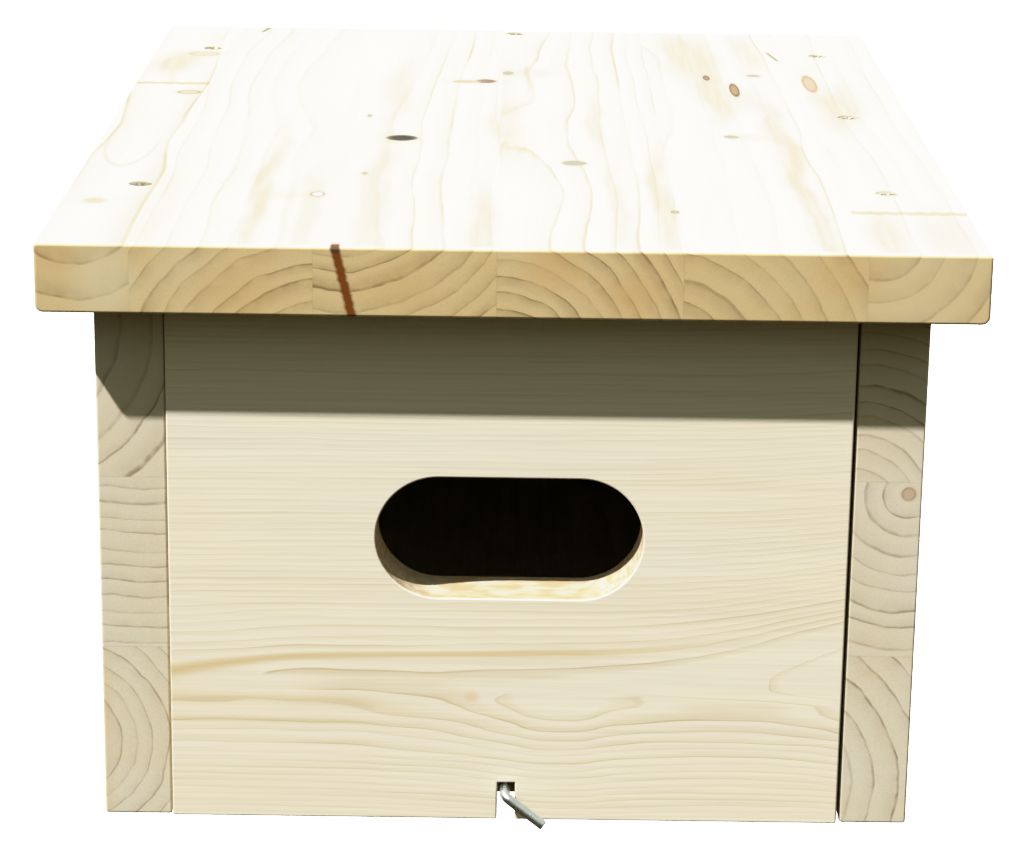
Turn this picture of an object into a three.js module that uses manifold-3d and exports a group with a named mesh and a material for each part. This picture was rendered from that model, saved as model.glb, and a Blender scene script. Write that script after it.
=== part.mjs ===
// Nest box for swifts: six boards of glued spruce, screwed together into a long, low box.
// The front panel is hung on two screws near its top edge and swings up for cleaning, and
// a bent screw hook in the floor's front edge keeps it shut.
//
// Millimetres. +X is to the right as seen from the front, +Y towards the back, +Z up. The
// origin is under the middle of the roof board, on the surface that the box stands on.

import * as THREE from "three";
import { mergeVertices } from "three/addons/utils/BufferGeometryUtils.js";
import Module from "manifold-3d";

const wasm = await Module();
wasm.setup();

// ---- Driving dimensions ----

// The box
const boardThickness = 18;
const insideWidth = 180;
const insideHeight = 125;
const insideDepth = 280; // from the front panel to the back panel
const roofSideOverhang = 13;
const roofFrontOverhang = 14; // from the side boards' front edges
const seat = 0.1; // between two boards that are screwed together

// The front panel, which is the door
const doorSideGap = 0.5;
const doorProud = 0.8; // the panel stands this far in front of the side boards
const doorStopGap = 0.4; // to the floor's front edge, which the panel closes against
const doorSwingRoom = 0.75; // under the roof, as the panel's back top edge swings past
const pivotBelowRoof = 20;

// The entrance, a slot with half-round ends
const entranceWidth = 70.5;
const entranceHeight = 33.4;
const entranceCentre = 79.8; // above the underside of the box

// The notch in the panel's lower edge, and the screw hook that comes out through it
const notchSideRoom = 1.05; // on each side of the hook's wire
const notchTopRoom = 0.65; // above the wire
const hookWire = 2.7; // diameter
const hookOffset = -0.3; // from the middle of the notch
const hookBelowMiddle = 0.3; // from the middle of the floor's front edge
const hookReach = 4.7; // from the panel's face to the middle of the wire
const hookLeg = 13;
const hookBend = 2.2; // radius of the bend, at the middle of the wire
const hookBendAngle = 77; // degrees from straight
const hookDrop = 34; // degrees that the leg points below level when the door is locked
const hookThread = 18; // length in the floor

// Wood screws
const screwDiameter = 3.5;
const screwHeadDiameter = 6.6;
const screwHeadSink = 0.3; // head's face below the wood's surface
const screwLength = 40;
const pivotScrewDiameter = 4;
const pivotScrewLength = 38;
const screwRoom = 0.3; // between a screw and the wood round it
const pivotRoom = 0.3; // between a pivot screw and the side board it turns in

// Where the screws go
const roofScrewInset = 6; // from the side board's outer face
const roofScrewFront = 72; // from the roof's front edge to the first screw
const roofScrewBack = 43; // from the roof's back edge to the last screw
const roofScrewRear = 6; // from the roof's back edge to the screw in the back panel
const floorScrewEnd = 35; // from the floor's ends to its first and last screw
const backScrewEnd = 22; // from the back panel's top and bottom to its screws

// The holes for hanging it on a wall
const hangingHoleDiameter = 7;
const hangingHoleSpacing = 120;
const hangingHoleBelowRoof = 35;

// ---- Sizes that follow ----

const bodyWidth = insideWidth + 2 * boardThickness;
const bodyHeight = insideHeight + boardThickness;
const bodyDepth = insideDepth + 2 * boardThickness;
const roofWidth = bodyWidth + 2 * roofSideOverhang;
const roofDepth = bodyDepth + roofFrontOverhang;

const backY = roofDepth / 2; // the roof and the back panel end here together
const frontY = backY - bodyDepth; // the side boards' front edges
const backPanelY = backY - boardThickness; // the back panel's inner face

const doorFrontY = frontY - doorProud;
const doorBackY = doorFrontY + boardThickness;
const doorWidth = insideWidth - 2 * doorSideGap;
const pivotY = doorFrontY + boardThickness / 2;
const pivotZ = bodyHeight - pivotBelowRoof;
const doorTopZ =
  pivotZ + Math.sqrt((pivotBelowRoof - doorSwingRoom) ** 2 - (boardThickness / 2) ** 2);

const floorFrontY = doorBackY + doorStopGap;
const hookZ = boardThickness / 2 - hookBelowMiddle;
const hookLegY = doorFrontY - hookReach;
const notchTopZ = hookZ + hookWire / 2 + notchTopRoom;

const screwSides = 16; // flats round a screw or its hole
const roundSides = 24; // flats round the hook or another round hole
const radians = THREE.MathUtils.degToRad;

// ---- Materials ----

const finish = (color, roughness, metalness) =>
  new THREE.MeshStandardMaterial({ color, roughness, metalness });
const spruceRoof = finish(0xf0dfbd, 0.62, 0);
const spruceSide = finish(0xd9ccaa, 0.65, 0);
const spruceDoor = finish(0xebe2c6, 0.6, 0);
const zincScrew = finish(0x9a978c, 0.42, 1);
const zincHook = finish(0xb9c1c4, 0.3, 1);

// ---- Joining and cutting ----

// A closed geometry as a solid.
function solid(geometry) {
  const bare = geometry.clone();
  bare.deleteAttribute("normal");
  bare.deleteAttribute("uv");
  const { attributes, index } = mergeVertices(bare, 1e-4);
  const triVerts = [];
  for (let i = 0; i < index.count; i += 3) {
    const [a, b, c] = index.array.slice(i, i + 3);
    if (a !== b && b !== c && c !== a) triVerts.push(a, b, c); // poles leave empty ones
  }
  return new wasm.Manifold(
    new wasm.Mesh({
      numProp: 3,
      vertProperties: attributes.position.array,
      triVerts: new Uint32Array(triVerts),
    }),
  );
}

// A solid as a geometry with flat faces.
function geometryOf(made) {
  const { vertProperties, triVerts } = made.getMesh();
  return new THREE.BufferGeometry()
    .setAttribute("position", new THREE.BufferAttribute(vertProperties, 3))
    .setIndex(new THREE.BufferAttribute(triVerts, 1))
    .toNonIndexed();
}

function named(name, geometry, material) {
  geometry.computeVertexNormals();
  const mesh = new THREE.Mesh(geometry, material);
  mesh.name = name;
  return mesh;
}

// ---- Screws ----

// A countersunk wood screw, its head's face at the origin and its point down -Z. With room
// added all round it is the hole that the screw sits in, open at the head.
function screwShape(diameter, length, room = 0) {
  const shank = diameter / 2 + room;
  const head = screwHeadDiameter / 2 + room;
  const rim = 0.4; // the straight edge round the head
  const coneEnd = -rim - (head - shank);
  const pointStart = -length + 1.5 * diameter;
  const open = room ? 3 * screwHeadSink : 0; // the hole runs on out of the wood
  const profile = [
    [0, -length - room],
    [shank, pointStart],
    [shank, coneEnd],
    [head, -rim],
    [head, open],
    [0, open],
  ].map(([r, z]) => new THREE.Vector2(r, z));
  return new THREE.LatheGeometry(profile, screwSides).rotateX(Math.PI / 2);
}

const roofTop = bodyHeight + boardThickness;
const sideScrewX = bodyWidth / 2 - screwHeadSink;
const floorMiddleZ = boardThickness / 2;
const backMiddleY = backY - boardThickness / 2;
const roofRows = [
  ["front", -roofDepth / 2 + roofScrewFront],
  ["middle", (roofScrewFront - roofScrewBack) / 2],
  ["back", backY - roofScrewBack],
];
const floorRows = [
  ["front", floorFrontY + floorScrewEnd],
  ["middle", (floorFrontY + backPanelY) / 2],
  ["back", backPanelY - floorScrewEnd],
];
const backRows = [
  ["lower", backScrewEnd],
  ["upper", bodyHeight - backScrewEnd],
];
const sides = [
  ["left", -1],
  ["right", 1],
];

// Each screw: its name, where its head's face is, and which way its head faces. The roof's
// left side has no screw in the middle.
const screws = [
  ...sides.flatMap(([side, s]) => [
    ...roofRows.filter(([row]) => side === "right" || row !== "middle").map(([row, y]) => ({
      name: `roof_screw_${side}_${row}`,
      at: [s * (bodyWidth / 2 - roofScrewInset), y, roofTop - screwHeadSink],
      facing: "up",
    })),
    ...floorRows.map(([row, y]) => ({
      name: `floor_screw_${side}_${row}`,
      at: [s * sideScrewX, y, floorMiddleZ],
      facing: side,
    })),
    ...backRows.map(([row, z]) => ({
      name: `back_screw_${side}_${row}`,
      at: [s * sideScrewX, backMiddleY, z],
      facing: side,
    })),
  ]),
  {
    name: "roof_screw_rear",
    at: [0, backY - roofScrewRear, roofTop - screwHeadSink],
    facing: "up",
  },
];
const quarterTurns = { up: 0, left: -1, right: 1 };

function place(object, { at, facing }) {
  object.position.set(...at);
  object.rotation.y = (quarterTurns[facing] * Math.PI) / 2;
  object.updateMatrix();
  return object;
}

const moved = (geometry, where) =>
  geometry.applyMatrix4(place(new THREE.Object3D(), where).matrix);
const screwHoles = screws.map((screw) =>
  solid(moved(screwShape(screwDiameter, screwLength, screwRoom), screw)),
);
const pivots = sides.map(([side, s]) => ({
  name: `pivot_screw_${side}`,
  at: [s * sideScrewX, pivotY, pivotZ],
  facing: side,
}));
const pivotHoles = pivots.map((pivot) =>
  solid(moved(screwShape(pivotScrewDiameter, pivotScrewLength, pivotRoom), pivot)),
);

// ---- Boards ----

// A board from one corner to the opposite one, with the holes cut out. It is cut where it
// stands, then put back about its own middle so that its mesh has a place.
function board(name, low, high, holes, material) {
  const size = high.map((v, i) => v - low[i]);
  const middle = high.map((v, i) => (v + low[i]) / 2);
  const blank = new THREE.BoxGeometry(...size).translate(...middle);
  return cutBoard(name, blank, middle, holes, material);
}

function cutBoard(name, blank, middle, holes, material) {
  const cut = holes.reduce((wood, hole) => wood.subtract(hole), solid(blank));
  const geometry = geometryOf(cut).translate(...middle.map((v) => -v));
  const mesh = named(name, geometry, material);
  mesh.position.set(...middle);
  return mesh;
}

function roofBoard() {
  const low = [-roofWidth / 2, -roofDepth / 2, bodyHeight];
  const high = [roofWidth / 2, backY, roofTop];
  return board("roof_board", low, high, screwHoles, spruceRoof);
}

function sideBoard(side, s) {
  const inner = insideWidth / 2;
  const outer = bodyWidth / 2;
  const x = [s * inner, s * outer].sort((a, b) => a - b);
  const low = [x[0], frontY, 0];
  const high = [x[1], backY, bodyHeight - seat];
  return board(`side_board_${side}`, low, high, [...screwHoles, ...pivotHoles], spruceSide);
}

function backPanel() {
  const half = insideWidth / 2 - seat;
  const low = [-half, backPanelY, 0];
  const high = [half, backY, bodyHeight - seat];
  const holeLength = 2 * boardThickness;
  const hangingHoles = sides.map(([, s]) =>
    solid(
      new THREE.CylinderGeometry(
        hangingHoleDiameter / 2,
        hangingHoleDiameter / 2,
        holeLength,
        roundSides,
      ).translate((s * hangingHoleSpacing) / 2, backMiddleY, bodyHeight - hangingHoleBelowRoof),
    ),
  );
  return board("back_panel", low, high, [...screwHoles, ...hangingHoles], spruceSide);
}

// The hole that the hook's thread is screwed into, from the floor's front edge.
function hookHole() {
  const radius = hookWire / 2 + screwRoom;
  const length = hookThread + screwRoom;
  return solid(
    new THREE.CylinderGeometry(radius, radius, 2 * length, roundSides).translate(
      hookOffset,
      floorFrontY,
      hookZ,
    ),
  );
}

function floorBoard() {
  const half = insideWidth / 2 - seat;
  const low = [-half, floorFrontY, 0];
  const high = [half, backPanelY - seat, boardThickness];
  return board("floor_board", low, high, [...screwHoles, hookHole()], spruceSide);
}

// ---- Door ----

// The panel's outline, with the notch in its lower edge and the entrance.
function doorOutline() {
  const half = doorWidth / 2;
  const notch = hookWire / 2 + notchSideRoom;
  const outline = new THREE.Shape()
    .moveTo(-half, 0)
    .lineTo(-notch, 0)
    .lineTo(-notch, notchTopZ)
    .lineTo(notch, notchTopZ)
    .lineTo(notch, 0)
    .lineTo(half, 0)
    .lineTo(half, doorTopZ)
    .lineTo(-half, doorTopZ)
    .closePath();
  const radius = entranceHeight / 2;
  const straight = entranceWidth / 2 - radius;
  const entrance = new THREE.Path()
    .absarc(-straight, entranceCentre, radius, Math.PI / 2, (3 * Math.PI) / 2)
    .absarc(straight, entranceCentre, radius, -Math.PI / 2, Math.PI / 2)
    .closePath();
  outline.holes.push(entrance);
  return outline;
}

function frontPanel() {
  const blank = new THREE.ExtrudeGeometry(doorOutline(), {
    depth: boardThickness,
    bevelEnabled: false,
    curveSegments: 20,
  })
    .rotateX(Math.PI / 2)
    .translate(0, doorBackY, 0);
  const hinge = [0, pivotY, pivotZ];
  return cutBoard("front_panel", blank, hinge, pivotHoles, spruceDoor);
}

// ---- Hook ----

// A bent wire with round sections: each station is a point on its middle line, the wire's
// direction there and its radius. The middle line lies in the plane square to normal.
function bentWire(stations, normal) {
  const positions = [];
  const index = [];
  for (const { at, direction, radius } of stations) {
    const across = new THREE.Vector3().crossVectors(direction, normal);
    for (let i = 0; i < roundSides; i++) {
      const turn = (2 * Math.PI * i) / roundSides;
      const point = at
        .clone()
        .addScaledVector(normal, radius * Math.cos(turn))
        .addScaledVector(across, radius * Math.sin(turn));
      positions.push(...point);
    }
  }
  for (let ring = 1; ring < stations.length; ring++)
    for (let i = 0; i < roundSides; i++) {
      const next = (i + 1) % roundSides;
      const [a, b] = [i, next].map((k) => (ring - 1) * roundSides + k);
      const [c, d] = [i, next].map((k) => ring * roundSides + k);
      index.push(a, b, d, a, d, c);
    }
  return new THREE.BufferGeometry()
    .setAttribute("position", new THREE.Float32BufferAttribute(positions, 3))
    .setIndex(index);
}

// The wire comes forward out of the floor, bends through a little under a right angle and
// ends in a straight leg; its other end is a point in the wood. The origin is on the wire's
// middle line at the floor's front edge, so a turn about Y is the hook's own turn.
function lockHook() {
  const bend = radians(hookBendAngle);
  const drop = radians(hookDrop);
  const forward = new THREE.Vector3(0, -1, 0);
  const aside = new THREE.Vector3(Math.cos(drop), 0, -Math.sin(drop));
  const normal = new THREE.Vector3().crossVectors(forward, aside);
  const mix = (f, a) =>
    new THREE.Vector3().addScaledVector(forward, f).addScaledVector(aside, a);

  const radius = hookWire / 2;
  const legDirection = mix(Math.cos(bend), Math.sin(bend));
  const cornerReach = floorFrontY - hookLegY; // to where the middle lines would meet
  const bendStart = cornerReach - hookBend * Math.tan(bend / 2);
  const legAt = (length) => mix(cornerReach, 0).addScaledVector(legDirection, length);

  const stations = [
    [0, -hookThread],
    [radius, -hookThread + hookWire],
  ].map(([r, f]) => ({ at: mix(f, 0), direction: forward, radius: r }));
  const bendSteps = 8;
  for (let i = 0; i <= bendSteps; i++) {
    const turn = (bend * i) / bendSteps;
    stations.push({
      at: mix(bendStart + hookBend * Math.sin(turn), hookBend * (1 - Math.cos(turn))),
      direction: mix(Math.cos(turn), Math.sin(turn)),
      radius,
    });
  }
  const eased = radius / 4; // the leg's end is cut square, its edge taken off
  stations.push(
    { at: legAt(hookLeg - eased), direction: legDirection, radius },
    { at: legAt(hookLeg), direction: legDirection, radius: radius - eased },
    { at: legAt(hookLeg), direction: legDirection, radius: 0 },
  );

  const geometry = geometryOf(solid(bentWire(stations, normal)));
  const mesh = named("lock_hook", geometry, zincHook);
  mesh.position.set(hookOffset, floorFrontY, hookZ);
  return mesh;
}

// ---- The whole box ----

function screwMesh(where, diameter, length) {
  const geometry = geometryOf(solid(screwShape(diameter, length)));
  return place(named(where.name, geometry, zincScrew), where);
}

const door = new THREE.Group();
door.add(
  frontPanel(),
  ...pivots.map((pivot) => screwMesh(pivot, pivotScrewDiameter, pivotScrewLength)),
);

const nestBox = new THREE.Group();
nestBox.add(
  roofBoard(),
  ...sides.map(([side, s]) => sideBoard(side, s)),
  backPanel(),
  floorBoard(),
  ...screws.map((screw) => screwMesh(screw, screwDiameter, screwLength)),
  door,
  lockHook(),
);

export default nestBox;
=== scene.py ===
import math

import bmesh
import bpy
from mathutils import Matrix, Vector
from mathutils.geometry import delaunay_2d_cdt


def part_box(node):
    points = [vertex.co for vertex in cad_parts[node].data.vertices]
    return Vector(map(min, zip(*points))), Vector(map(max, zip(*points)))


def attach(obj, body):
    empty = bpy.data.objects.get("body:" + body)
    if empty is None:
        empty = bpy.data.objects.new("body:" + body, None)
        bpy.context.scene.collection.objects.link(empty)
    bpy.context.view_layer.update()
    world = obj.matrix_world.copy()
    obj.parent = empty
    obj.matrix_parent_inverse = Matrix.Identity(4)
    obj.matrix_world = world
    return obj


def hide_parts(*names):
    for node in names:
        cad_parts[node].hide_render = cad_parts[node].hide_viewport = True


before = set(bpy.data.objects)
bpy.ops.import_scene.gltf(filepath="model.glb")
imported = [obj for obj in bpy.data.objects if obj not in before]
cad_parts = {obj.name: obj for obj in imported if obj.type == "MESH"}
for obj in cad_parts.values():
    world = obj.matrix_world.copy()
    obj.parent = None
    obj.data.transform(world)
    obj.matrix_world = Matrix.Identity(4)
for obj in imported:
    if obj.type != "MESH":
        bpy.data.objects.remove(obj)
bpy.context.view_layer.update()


# ---- Camera ----
# A long lens in front of the box and a little above it, looking down at the entrance.
camera_data = bpy.data.cameras.new("camera")
camera_data.sensor_width = 36
camera_data.lens = 111.87
camera_data.shift_x = 0.00026
camera_data.shift_y = -0.00083
camera_data.clip_start = 0.01
camera = bpy.data.objects.new("camera", camera_data)
bpy.context.scene.collection.objects.link(camera)
bpy.context.scene.camera = camera

camera_place = (-0.00061, -0.94457, 0.3475)
camera_tilt = 0.29033
camera_turn = 0.00102
camera_roll = 0.01398
ahead = Vector((math.sin(camera_turn), math.cos(camera_turn), -math.tan(camera_tilt))).normalized()
level = Vector((math.cos(camera_turn), -math.sin(camera_turn), 0))
upright = level.cross(ahead)
camera_right = level * math.cos(camera_roll) + upright * math.sin(camera_roll)
camera_up = camera_right.cross(ahead)
camera_axes = Matrix((camera_right, camera_up, -ahead)).transposed().to_4x4()
camera.matrix_world = Matrix.Translation(camera_place) @ camera_axes


# ---- Stage ----
# A sheet of pale paper on the floor and a white dome behind it, a warm key light over the left
# shoulder, and soft light from all round.
def node(tree, kind, *given, **settings):
    """Adds a node, sets or links its inputs in order (None skips one), and returns its first output."""
    made = tree.nodes.new(kind)
    for setting, value in settings.items():
        setattr(made, setting, value)
    for socket, value in zip(made.inputs, given):
        if isinstance(value, bpy.types.NodeSocket):
            tree.links.new(value, socket)
        elif value is not None:
            socket.default_value = value
    return made.outputs[0]


def tree_of(*values):
    """The node tree that the sockets among the values are in."""
    return next(value.id_data for value in values if isinstance(value, bpy.types.NodeSocket))


def ramp(value, low, high, to_low=0.0, to_high=1.0, smooth=False):
    """Turns low..high into to_low..to_high and holds it there outside that range."""
    return node(tree_of(value), "ShaderNodeMapRange", value, low, high, to_low, to_high,
                interpolation_type="SMOOTHSTEP" if smooth else "LINEAR")


def mix_colour(factor, a, b, blend_type="MIX"):
    a, b = ((*colour, 1) if isinstance(colour, tuple) else colour for colour in (a, b))
    made = node(tree_of(factor, a, b), "ShaderNodeMix", factor, *[None] * 5, a, b, data_type="RGBA",
                blend_type=blend_type)
    return made.node.outputs[2]


def new_material(name):
    made = bpy.data.materials.new(name)
    made.use_nodes = True
    return made, made.node_tree, made.node_tree.nodes["Principled BSDF"]


def add_object(name, shape, material):
    """Makes a mesh object of a bmesh, with its place in its mesh."""
    mesh = bpy.data.meshes.new(name)
    shape.to_mesh(mesh)
    shape.free()
    mesh.materials.append(material)
    made = bpy.data.objects.new(name, mesh)
    bpy.context.scene.collection.objects.link(made)
    return made


sheet_radius = 8
dome_radius = 7.9
paper, tree, shader = new_material("pale_paper")
paper_fleck = node(tree, "ShaderNodeTexNoise", None, None, 60.0, 3.0)
tree.links.new(ramp(paper_fleck, 0.3, 0.7, 0.9, 0.94), shader.inputs["Base Color"])
shader.inputs["Roughness"].default_value = 0.9
shader.inputs["Specular IOR Level"].default_value = 0.0
sheet = bmesh.new()
bmesh.ops.create_circle(sheet, cap_ends=True, radius=sheet_radius, segments=96)
paper_floor = add_object("paper_floor", sheet, paper)
paper_floor.visible_diffuse = False
paper_floor.visible_glossy = False

# A white dome behind everything, for low views. It is only there to be seen: no light stops at it.
dome_white, tree, shader = new_material("dome_white")
shader.inputs["Base Color"].default_value = (0, 0, 0, 1)
shader.inputs["Specular IOR Level"].default_value = 0.0
shader.inputs["Emission Color"].default_value = (1, 1, 1, 1)
shader.inputs["Emission Strength"].default_value = 3.0
shell = bmesh.new()
bmesh.ops.create_uvsphere(shell, u_segments=64, v_segments=32, radius=dome_radius)
studio_dome = add_object("studio_dome", shell, dome_white)
for kind in ("diffuse", "glossy", "transmission", "volume_scatter", "shadow"):
    setattr(studio_dome, "visible_" + kind, False)

# The sheet has its own light, which nothing shades, and the box's lights leave the sheet out.
paper_light = bpy.data.collections.new("lit_as_the_paper")
paper_light.objects.link(paper_floor)
box_light = bpy.data.collections.new("all_but_the_paper")
box_light.objects.link(paper_floor)
box_light.collection_objects[0].light_linking.link_state = "EXCLUDE"


def sun(name, towards, strength, softness, colour, lights_only, shaded_by=None):
    light = bpy.data.lights.new(name, "SUN")
    light.energy = strength
    light.angle = math.radians(softness)
    light.color = colour
    made = bpy.data.objects.new(name, light)
    made.rotation_euler = Vector(towards).to_track_quat("-Z", "Y").to_euler()
    bpy.context.scene.collection.objects.link(made)
    made.light_linking.receiver_collection = lights_only
    made.light_linking.blocker_collection = shaded_by


sun("key", (18.6, 13, -30), 8.9, 1.2, (1.0, 0.985, 0.95), box_light)
sun("back_fill", (-12, -20, -14), 2.6, 40, (1.0, 0.99, 0.97), box_light)
sun("paper_light", (0, 4, -30), 8.0, 30, (1.0, 1.0, 1.0), paper_light, paper_light)

world = bpy.data.worlds.new("soft_daylight")
bpy.context.scene.world = world
world.use_nodes = True
tree = world.node_tree
direction = tree.nodes.new("ShaderNodeTexCoord").outputs["Generated"]
facing = tree.nodes.new("ShaderNodeSeparateXYZ")
tree.links.new(direction, facing.inputs[0])
sky_low, sky_high = (0.052, 0.039, 0.009), (0.70, 0.745, 0.565)
sky = mix_colour(ramp(facing.outputs["Z"], 0.02, 0.8), sky_low, sky_high)
tree.links.new(sky, tree.nodes["Background"].inputs["Color"])

# Highlights roll off softly, as they do on film; everything below them is shown as it is.
view = bpy.context.scene.view_settings
view.view_transform = "Standard"
view.use_curve_mapping = True
view.curve_mapping.white_level = (3, 3, 3)
film = view.curve_mapping.curves[3]
roll_off = ((0.08, 0.24), (0.16, 0.48), (0.25, 0.745), (0.30, 0.85), (0.37, 0.91), (0.47, 0.95),
            (0.6, 0.975), (0.8, 0.99))
for x, y in roll_off:
    film.points.new(x, y)
view.curve_mapping.update()


# ---- Roof board ----
# One board of six spruce staves glued edge to edge, planed, its long lower edges rounded over.
# It lies on the side boards and the back panel and is screwed down with six countersunk screws.
def rounded(corners, radius, steps=5):
    """An outline with its corners rounded. Each corner is (x, z) or (x, z, its own radius)."""
    points = []
    for i, corner in enumerate(corners):
        here = Vector(corner[:2])
        to_last = (Vector(corners[i - 1][:2]) - here).normalized()
        to_next = (Vector(corners[(i + 1) % len(corners)][:2]) - here).normalized()
        r = corner[2] if len(corner) > 2 else radius
        reach = r / math.tan(to_last.angle(to_next) / 2)
        start, end = here + to_last * reach, here + to_next * reach
        middle = here + (to_last + to_next).normalized() * math.hypot(reach, r)
        a, b = start - middle, end - middle
        turn = math.atan2(a.x * b.y - a.y * b.x, a.dot(b))
        for step in range(steps + 1):
            points.append(middle + Matrix.Rotation(turn * step / steps, 2) @ a)
    return points


def pulled_in(outline, distance):
    """The outline moved towards its inside (to the left as it runs) by a distance."""
    moved = []
    for i, point in enumerate(outline):
        before = (point - outline[i - 1]).normalized()
        after = (outline[(i + 1) % len(outline)] - point).normalized()
        inward = Vector((-before.y - after.y, before.x + after.x)).normalized()
        lean = max(0.3, inward.dot(Vector((-before.y, before.x))))
        moved.append(point + inward * distance / lean)
    return moved


def band(shape, one, two, smooth=True):
    """Joins two loops of vertices with a band of faces."""
    for i in range(len(one)):
        j = (i + 1) % len(one)
        shape.faces.new((one[i], one[j], two[j], two[i])).smooth = smooth


def within(point, loop):
    crossings = 0
    for i, a in enumerate(loop):
        b = loop[i - 1]
        if (a.y > point.y) != (b.y > point.y):
            crossings += point.x < (b.x - a.x) * (point.y - a.y) / (b.y - a.y) + a.x
    return crossings % 2 == 1


def flat_with_holes(shape, axis, outline, rims):
    """Fills a flat outline square to an axis, leaving its rims open."""
    u, v = [i for i in range(3) if i != axis]
    loops = [outline, *rims]
    corners = [vertex for loop in loops for vertex in loop]
    flat = [Vector((c.co[u], c.co[v])) for c in corners]
    edges, start = [], 0
    for loop in loops:
        edges += [(start + i, start + (i + 1) % len(loop)) for i in range(len(loop))]
        start += len(loop)
    points, _, triangles, came_from, _, _ = delaunay_2d_cdt(flat, edges, [], 1, 1e-9, True)
    edge_of = [Vector((c.co[u], c.co[v])) for c in outline]
    holes = [[Vector((c.co[u], c.co[v])) for c in rim] for rim in rims]
    for triangle in triangles:
        middle = sum((points[i] for i in triangle), Vector((0, 0))) / 3
        if within(middle, edge_of) and not any(within(middle, hole) for hole in holes):
            shape.faces.new([corners[came_from[i][0]] for i in triangle])


def sawn_board(outline, front, back, eased=0.0006, windows=()):
    """A board whose outline (x, z) runs from front to back along y, its end edges eased.
    Windows are openings right through it, given as outlines that run the same way."""
    shape = bmesh.new()
    steps = 4
    turns = [math.pi / 2 * i / steps for i in range(steps + 1)]
    rings = [(eased * (1 - math.sin(t)), front + eased * (1 - math.cos(t))) for t in turns]
    rings += [(0, front + 1.8 * eased), (0, back - 1.8 * eased)]
    rings += [(eased * (1 - math.sin(t)), back - eased * (1 - math.cos(t))) for t in reversed(turns)]
    ends = []
    for loop, way in [(outline, 1), *((w, -1) for w in windows)]:
        made = [[shape.verts.new((p.x, y, p.y)) for p in pulled_in(loop, way * inset)] for inset, y in rings]
        for one, two in zip(made, made[1:]):
            band(shape, one, two)
        ends.append(made)
    for end in (0, -1):
        flat_with_holes(shape, 1, ends[0][end], [made[end] for made in ends[1:]])
    bmesh.ops.recalc_face_normals(shape, faces=shape.faces)
    return shape


def flat_side(shape, axis, way):
    """The faces of the board's flat side that faces that way."""
    most = max(vertex.co[axis] * way for vertex in shape.verts)
    return [f for f in shape.faces if all(abs(v.co[axis] * way - most) < 1e-6 for v in f.verts)]


def drill(shape, axis, way, places, profile):
    """Drills holes in the flat side that faces that way. A profile is (radius, depth) pairs; when it
    is deeper than the board the hole comes out on the far side. Places are points on the side."""
    near = flat_side(shape, axis, way)
    level = near[0].verts[0].co[axis]
    far = flat_side(shape, axis, -way)
    far_level = far[0].verts[0].co[axis]
    through = profile[-1][1] >= abs(level - far_level) - 1e-6
    u, v = [i for i in range(3) if i != axis]

    def circle(place, radius, depth, sides=28):
        made = []
        for i in range(sides):
            turn = 2 * math.pi * i / sides
            at = [0.0, 0.0, 0.0]
            at[u] = place[0] + radius * math.cos(turn)
            at[v] = place[1] + radius * math.sin(turn)
            at[axis] = level - way * depth
            made.append(shape.verts.new(at))
        return made

    def outer_loops(faces):
        rims = [e for e in {e for f in faces for e in f.edges} if sum(l in faces for l in e.link_faces) == 1]
        loops, left = [], set(rims)
        while left:
            edge = left.pop()
            loop = [edge.verts[0], edge.verts[1]]
            while loop[-1] is not loop[0]:
                edge = next(e for e in loop[-1].link_edges if e in left)
                left.discard(edge)
                loop.append(edge.other_vert(loop[-1]))
            loops.append(loop[:-1])
        size = lambda loop: max(p.co[u] for p in loop) - min(p.co[u] for p in loop)
        return sorted(loops, key=size, reverse=True)

    near_loops = outer_loops(near)
    far_loops = outer_loops(far) if through else []
    bmesh.ops.delete(shape, geom=near + (far if through else []), context="FACES_KEEP_BOUNDARY")
    near_rims, far_rims = near_loops[1:], far_loops[1:]
    for place in places:
        rings = [circle(place, radius, depth) for radius, depth in profile]
        for one, two in zip(rings, rings[1:]):
            band(shape, one, two)
        near_rims.append(rings[0])
        if through:
            far_rims.append(rings[-1])
        else:
            shape.faces.new(rings[-1])
    flat_with_holes(shape, axis, near_loops[0], near_rims)
    if through:
        flat_with_holes(shape, axis, far_loops[0], far_rims)
    bmesh.ops.recalc_face_normals(shape, faces=shape.faces)


def outline_of(node_name, radius, lower=None, upper=None):
    """A board's outline seen from the front, from the size of its CAD node."""
    low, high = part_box(node_name)
    down, over = (radius if r is None else r for r in (lower, upper))
    return rounded(((low.x, low.z, down), (high.x, low.z, down), (high.x, high.z, over),
                    (low.x, high.z, over)), radius)


head_radius = 0.0033
thread_radius = 0.00175
pilot_radius = 0.0019
# Holes are (radius, depth) pairs. A countersink's edge is broken, and the head lies just below it.
countersink = ((0.00352, 0), (0.00338, 0.00012), (0.00338, 0.0007), (pilot_radius, 0.0022))
pivot_countersink = ((0.00356, 0), (0.00342, 0.00012), (0.00342, 0.0007), (0.0022, 0.0021))
pivot_radius = 0.0022
side_pilot = ((pilot_radius, 0), (pilot_radius, 0.0222))
top_pilot = ((pilot_radius, 0), (pilot_radius, 0.0224))


def heads(*names):
    """The middles of the screws' CAD nodes, in line with their heads."""
    return [(low + high) / 2 for low, high in map(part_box, names)]


roof_screws = sorted(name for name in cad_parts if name.startswith("roof_screw"))
roof_low, roof_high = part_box("roof_board")
roof_thickness = roof_high.z - roof_low.z
roof_shape = sawn_board(outline_of("roof_board", 0.001, lower=0.002), roof_low.y, roof_high.y, 0.0007)
drill(roof_shape, 2, 1, [(m.x, m.y) for m in heads(*roof_screws)],
      (*countersink, (pilot_radius, roof_thickness)))


def calc(operation, a, b=None, c=None):
    return node(tree_of(a, b, c), "ShaderNodeMath", a, b, c, operation=operation)


def plus(a, b):
    return calc("ADD", a, b)


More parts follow.
